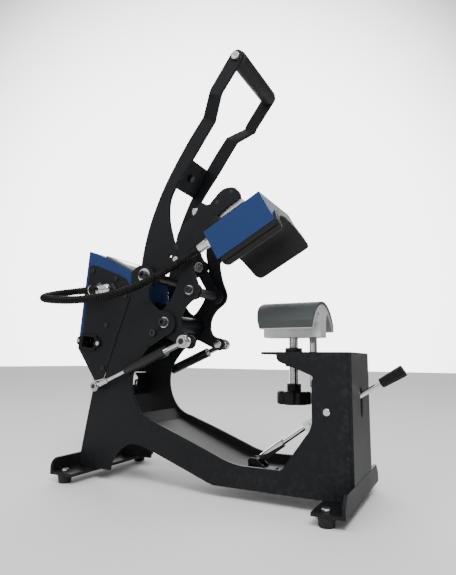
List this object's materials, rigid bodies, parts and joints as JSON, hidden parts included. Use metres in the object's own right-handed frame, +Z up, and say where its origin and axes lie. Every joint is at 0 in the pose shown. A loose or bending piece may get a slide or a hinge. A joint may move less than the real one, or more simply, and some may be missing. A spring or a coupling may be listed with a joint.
{
  "type": "cap heat press",
  "caption": "Benchtop cap heat press: toggle lever and gas springs swing an arched heating head over a padded arched platen on a screw lift, with a rear control box",
  "frame": {"origin": "on the table plane, under the middle of the bounding box without the conduit", "axes": "+Z up from the feet; the operator stands at -Y, where the column and the cap lever are; the control box is at +Y; X runs along the pivot axes, with the power inlet and the conduit on -X"},
  "size_m": [0.2453, 0.4968, 0.6177],
  "materials": {
    "black_powder": "fine textured satin powder coat",
    "blue_paint": "smooth satin powder coat",
    "black_oxide": "black oxide, slightly oily",
    "zinc_bolts": "bright zinc plate",
    "chrome_fittings": "polished plating",
    "bright_plate": "mill finish with fine grain",
    "cast_aluminium": "machined casting, faint tool lines",
    "coated_casting": "low-sheen non-stick coating",
    "grey_silicone": "matte moulded silicone",
    "rubber": "matte black rubber",
    "grip_rubber": "matte black foam rubber",
    "black_plastic": "moulded matte",
    "grey_plastic": "moulded matte",
    "red_plastic": "moulded gloss",
    "grey_film": "polycarbonate film, fine grain",
    "display_glass": "clear dark window",
    "circuit_board": "solder mask",
    "insulation": "felted fibre",
    "hose_plastic": "ribbed nylon conduit",
    "black_cylinder": "gloss black enamel"
  },
  "bodies": {
    "frame": {"frame_side_left": "black_powder", "frame_side_right": "black_powder", "column_front_plate": "black_powder", "top_plate": "black_powder", "base_web": "black_powder", "foot_bars": "black_powder", "rubber_feet": "rubber", "foot_bolts": "zinc_bolts", "cross_shafts": "black_oxide", "pivot_washers": "chrome_fittings", "socket_bolts": "black_oxide", "rear_studs": "chrome_fittings", "column_bushings": "black_oxide", "cap_lever_pin": "chrome_fittings", "strut_bracket": "black_powder", "control_shell": "blue_paint", "box_side_covers": "black_powder", "cover_screws": "black_oxide", "keypad_panel": "grey_film", "display_window": "display_glass", "controller_board": "circuit_board", "power_supply": "grey_plastic", "iec_inlet": "black_plastic", "switch_bezel": "black_plastic", "box_gland": "chrome_fittings", "hose": "hose_plastic"},
    "head_arm": {"arm_plates": "black_powder", "arm_cross_tubes": "black_powder", "link_shaft_b": "black_powder", "arm_fittings": "chrome_fittings", "head_bracket": "bright_plate", "head_posts": "black_oxide", "bracket_bolts": "black_oxide", "head_cover": "blue_paint", "heating_platen": "coated_casting", "heater_element": "grey_film", "heater_insulation": "insulation", "platen_rails": "coated_casting", "head_gland": "chrome_fittings"},
    "lever": {"lever_plates": "black_powder", "lever_crossbar": "black_powder", "crossbar_bolt": "black_oxide", "grip_sleeve": "grip_rubber", "grip_rod": "zinc_bolts", "link_pins_d": "zinc_bolts"},
    "link": {"toggle_links": "black_powder"},
    "rod_left": {"gas_rod_left": "chrome_fittings"},
    "rod_right": {"gas_rod_right": "chrome_fittings"},
    "cylinder_left": {"gas_cylinder_left": "black_cylinder"},
    "cylinder_right": {"gas_cylinder_right": "black_cylinder"},
    "platen": {"lower_platen": "cast_aluminium", "silicone_pad": "grey_silicone", "guide_post": "chrome_fittings"},
    "screw": {"lift_screw": "chrome_fittings", "lift_knob": "black_plastic"},
    "cap_lever": {"cap_lever_rod": "chrome_fittings", "cap_lever_grip": "black_plastic"},
    "strut_lower": {"strut_tube": "chrome_fittings"},
    "strut_upper": {"strut_rod": "chrome_fittings"},
    "rocker": {"power_rocker": "red_plastic"}
  },
  "joints": [
    {"name": "head_close", "type": "hinge", "parent": "frame", "child": "head_arm", "pos_m": [0, 0.07791, 0.2285], "axis": [1, 0, 0], "range_deg": [0, 29], "stiffness_Nm_per_rad": 8, "springref_deg": -40.11, "deforming": ["hose"]},
    {"name": "lever_pull", "type": "hinge", "parent": "frame", "child": "lever", "pos_m": [0, 0.11661, 0.3004], "axis": [1, 0, 0], "range_deg": [0, 37.8]},
    {"name": "link_swing", "type": "hinge", "parent": "head_arm", "child": "link", "pos_m": [0, 0.04001, 0.2743], "axis": [1, 0, 0], "range_deg": [-45.02, 0]},
    {"name": "spring_tilt_left", "type": "hinge", "parent": "frame", "child": "rod_left", "pos_m": [-0.0612, 0.19111, 0.1352], "axis": [1, 0, 0], "range_deg": [0, 3.07]},
    {"name": "spring_stroke_left", "type": "slide", "parent": "rod_left", "child": "cylinder_left", "axis": [0, 0.9189, -0.3945], "range_m": [0, 0.02258]},
    {"name": "spring_tilt_right", "type": "hinge", "parent": "frame", "child": "rod_right", "pos_m": [0.0612, 0.19111, 0.1352], "axis": [1, 0, 0], "range_deg": [0, 3.07]},
    {"name": "spring_stroke_right", "type": "slide", "parent": "rod_right", "child": "cylinder_right", "axis": [0, 0.9189, -0.3945], "range_m": [0, 0.02258]},
    {"name": "platen_lift", "type": "slide", "parent": "frame", "child": "platen", "axis": [0, 0, 1], "range_m": [0, 0.022]},
    {"name": "screw_spin", "type": "hinge", "parent": "platen", "child": "screw", "pos_m": [0, -0.09899, 0.2063], "axis": [0, 0, 1], "range_deg": [0, 2641]},
    {"name": "cap_pull", "type": "hinge", "parent": "frame", "child": "cap_lever", "pos_m": [0, -0.15719, 0.1159], "axis": [1, 0, 0], "range_deg": [0, 20], "stiffness_Nm_per_rad": 0.6, "springref_deg": -17.19},
    {"name": "strut_tilt", "type": "hinge", "parent": "frame", "child": "strut_lower", "pos_m": [0, -0.04269, 0.0389], "axis": [1, 0, 0], "range_deg": [-8.41, 0]},
    {"name": "strut_stroke", "type": "slide", "parent": "strut_lower", "child": "strut_upper", "axis": [0, -0.815, 0.5794], "range_m": [0, 0.00419]},
    {"name": "power_switch", "type": "hinge", "parent": "frame", "child": "rocker", "pos_m": [0, 0.23489, 0.24568], "axis": [1, 0, 0], "range_deg": [0, 12]}
  ],
  "couplings": [
    {"joint": "lever_pull", "follows": "head_close", "ratio": 1.303},
    {"joint": "link_swing", "follows": "head_close", "ratio": -1.552},
    {"joint": "spring_tilt_left", "follows": "head_close", "ratio": 0.10547},
    {"joint": "spring_stroke_left", "follows": "head_close", "m_per_rad": 0.04457},
    {"joint": "spring_tilt_right", "follows": "head_close", "ratio": 0.10547},
    {"joint": "spring_stroke_right", "follows": "head_close", "m_per_rad": 0.04457},
    {"joint": "screw_spin", "follows": "platen_lift", "rad_per_m": 2094.4},
    {"joint": "strut_tilt", "follows": "cap_pull", "ratio": -0.42},
    {"joint": "strut_stroke", "follows": "cap_pull", "m_per_rad": 0.012}
  ]
}
